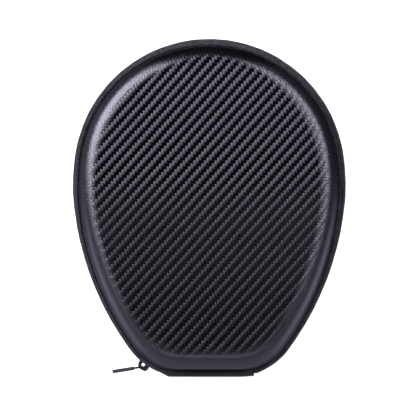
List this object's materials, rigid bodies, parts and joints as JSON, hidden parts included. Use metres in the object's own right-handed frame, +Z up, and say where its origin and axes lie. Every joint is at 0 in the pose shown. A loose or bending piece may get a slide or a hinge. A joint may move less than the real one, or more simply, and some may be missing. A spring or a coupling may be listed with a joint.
{
  "type": "headphone carrying case",
  "caption": "Hard egg-shaped zip case with two moulded shells, embossed cover, fabric hinge, zip round the rim, and a mesh pocket inside the lid.",
  "frame": {"origin": "middle of the case's length and width, on the flat back face that it rests on", "axes": "+Z up from the back face through the lid, +Y towards the wide round end, fabric hinge at -Y, +X to the right seen from above the lid"},
  "size_m": [0.1938, 0.2402, 0.066],
  "materials": {
    "cover": "embossed twill, satin",
    "foam": "matte moulded foam",
    "lining": "brushed knit",
    "binding": "grosgrain ribbon",
    "zip_tape": "woven zip tape",
    "zip_coil": "nylon coil",
    "thread": "bonded thread",
    "zip_metal": "black enamel",
    "pull_rubber": "moulded, satin",
    "hinge_cloth": "woven, matte",
    "mesh": "knitted mesh",
    "elastic": "ribbed elastic"
  },
  "bodies": {
    "base": {"base_skin": "cover", "base_shell": "foam", "base_lining": "lining", "base_edge_binding": "binding", "base_zip_tape": "zip_tape", "base_zip_coil": "zip_coil", "base_seam_thread": "thread", "base_zip_stop": "zip_metal", "zip_bottom_stop": "zip_metal", "base_hinge_thread": "thread", "hinge_outer_strip": "hinge_cloth", "hinge_inner_strip": "hinge_cloth"},
    "lid": {"lid_skin": "cover", "lid_shell": "foam", "lid_lining": "lining", "lid_edge_binding": "binding", "lid_zip_tape": "zip_tape", "lid_zip_coil": "zip_coil", "lid_seam_thread": "thread", "lid_zip_stop": "zip_metal", "lid_hinge_thread": "thread", "pocket_mesh": "mesh", "pocket_elastic": "elastic", "pocket_binding": "binding"},
    "slider": {"slider_body": "zip_metal"},
    "pull": {"pull_loop": "zip_metal", "pull_grip": "pull_rubber"}
  },
  "joints": [
    {"name": "lid_hinge", "type": "hinge", "parent": "base", "child": "lid", "pos_m": [0, -0.1215, 0.033], "axis": [1, 0, 0], "range_deg": [0, 180], "deforming": ["hinge_outer_strip", "hinge_inner_strip", "lid_zip_tape", "lid_zip_coil"]},
    {"name": "zip_slide", "type": "hinge", "parent": "base", "child": "slider", "pos_m": [-0.01824, -0.07302, 0.033], "axis": [0, 0, -1], "range_deg": [0, 12]},
    {"name": "pull_swing", "type": "hinge", "parent": "slider", "child": "pull", "pos_m": [-0.04779, -0.11354, 0.033], "axis": [0, 0, 1], "range_deg": [-40, 130]}
  ]
}
